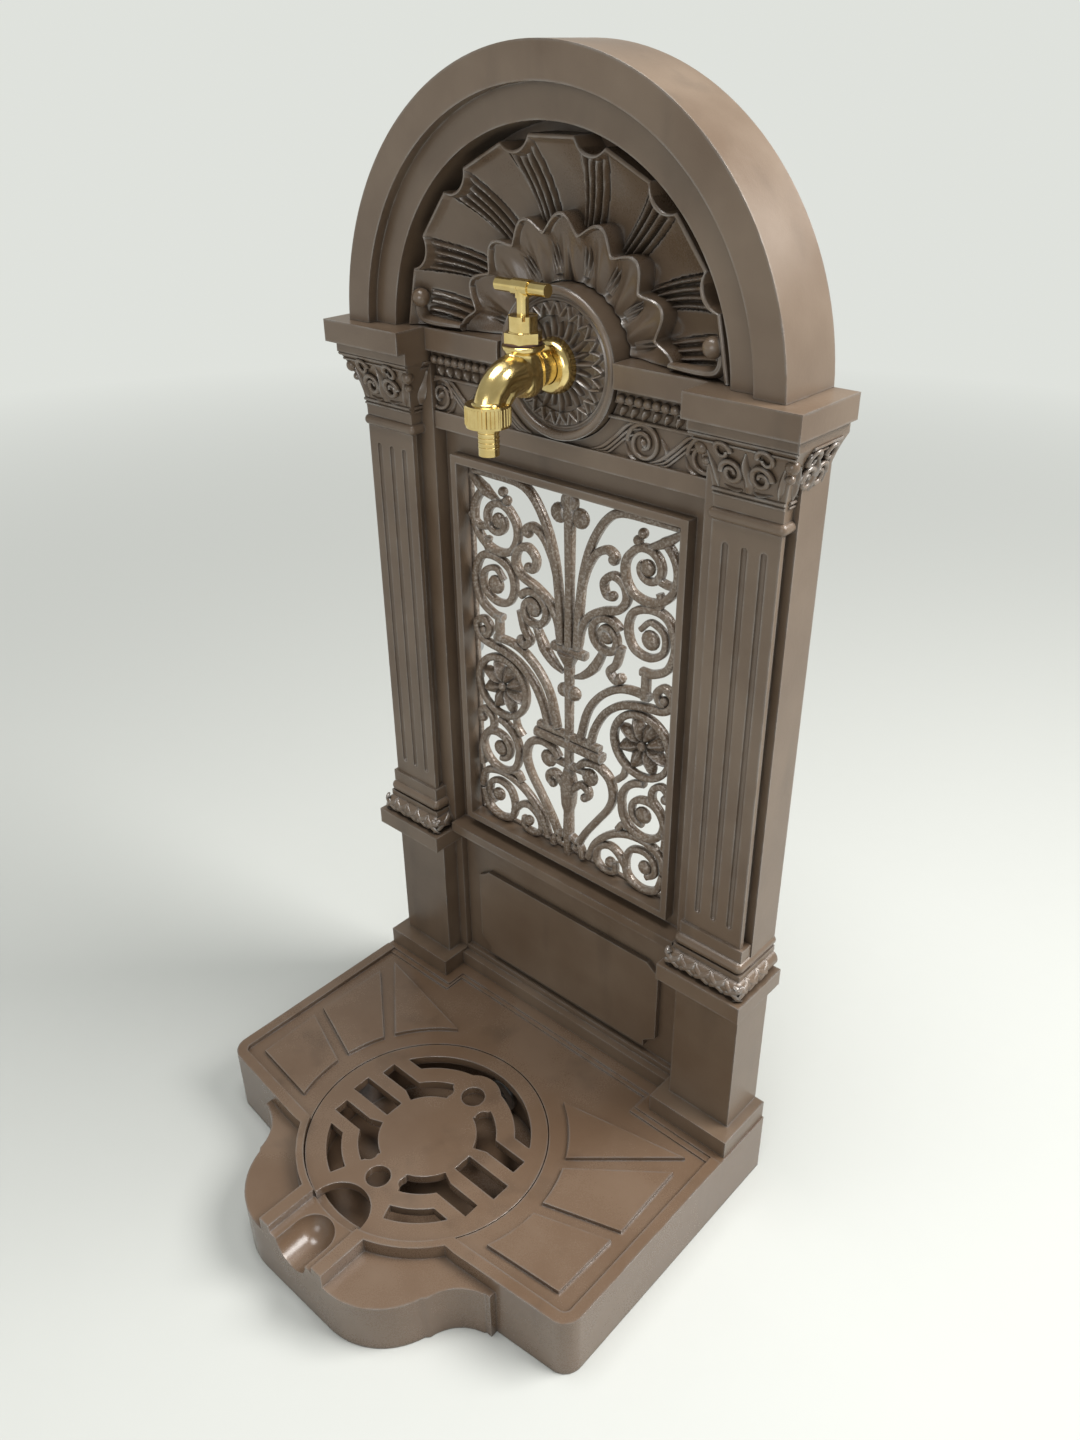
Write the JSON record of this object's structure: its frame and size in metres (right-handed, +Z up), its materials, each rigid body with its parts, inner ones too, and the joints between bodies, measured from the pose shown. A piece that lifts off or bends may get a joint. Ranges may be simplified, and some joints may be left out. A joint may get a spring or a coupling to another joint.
{
  "type": "drinking fountain",
  "caption": "Cast-metal wall fountain: an arched wall with pilasters, grille and shell niche on a base tray with a lift-out drain grate, and a brass tap with a hose union.",
  "frame": {"origin": "centre of the whole object's footprint, on the floor", "axes": "+X to the fountain's left-hand side as it faces the user (right when seen from the front), -Y to the front, +Z up"},
  "size_m": [0.406, 0.354, 0.841],
  "materials": {
    "painted_casting": "satin bronze-brown paint on a metal casting, with dark wear on the edges",
    "grille_paint": "glossy bronze-brown paint on a rough sand casting",
    "tap_brass": "polished and machined brass",
    "zinc_steel": "zinc-plated steel",
    "rubber_seal": "moulded black rubber",
    "fibre_washer": "red fibre washer"
  },
  "bodies": {
    "fountain": {"base_tray": "painted_casting", "left_pilaster": "painted_casting", "right_pilaster": "painted_casting", "wall_panel": "painted_casting", "scroll_grille": "grille_paint", "lower_panel": "painted_casting", "frieze_beam": "painted_casting", "arch_head": "painted_casting", "shell_plaque": "painted_casting", "tap_rosette": "painted_casting", "tap_flange": "tap_brass", "tap_body": "tap_brass", "bonnet": "tap_brass", "bonnet_washer": "fibre_washer", "gland_nut": "tap_brass", "gland_packing": "rubber_seal", "tap_locknut": "tap_brass", "locknut_washer": "zinc_steel", "drain_pipe": "tap_brass", "drain_gasket": "rubber_seal", "drain_locknut": "tap_brass", "drain_strainer": "zinc_steel", "foot_bolts": "zinc_steel", "foot_washers": "zinc_steel", "side_bolts": "zinc_steel", "side_nuts": "zinc_steel", "arch_bolts": "zinc_steel", "arch_nuts": "zinc_steel", "plaque_screws": "zinc_steel", "panel_screws": "zinc_steel", "grille_screws": "zinc_steel"},
    "grate": {"drain_grate": "painted_casting"},
    "jumper": {"valve_jumper": "tap_brass", "valve_washer": "rubber_seal"},
    "handle": {"spindle": "tap_brass", "tee_handle": "tap_brass", "handle_pin": "zinc_steel"},
    "tail": {"hose_tail": "tap_brass", "hose_washer": "rubber_seal"},
    "union_nut": {"hose_nut": "tap_brass"}
  },
  "joints": [
    {"name": "grate_lift", "type": "slide", "parent": "fountain", "child": "grate", "axis": [0, 0, 1], "range_m": [0, 0.05]},
    {"name": "jumper_lift", "type": "slide", "parent": "fountain", "child": "jumper", "axis": [0, 0, 1], "range_m": [0, 0.0036]},
    {"name": "handle_turn", "type": "hinge", "parent": "jumper", "child": "handle", "pos_m": [0, 0.098, 0.7], "axis": [0, 0, 1], "range_deg": [0, 540]},
    {"name": "tail_drop", "type": "slide", "parent": "fountain", "child": "tail", "axis": [0, 0, -1], "range_m": [0, 0.0126]},
    {"name": "union_turn", "type": "hinge", "parent": "tail", "child": "union_nut", "pos_m": [0, 0.064, 0.63], "axis": [0, 0, -1], "range_deg": [0, 2520]}
  ],
  "couplings": [
    {"joint": "jumper_lift", "follows": "handle_turn", "m_per_rad": 0.00038197},
    {"joint": "tail_drop", "follows": "union_turn", "m_per_rad": 0.00028648}
  ]
}
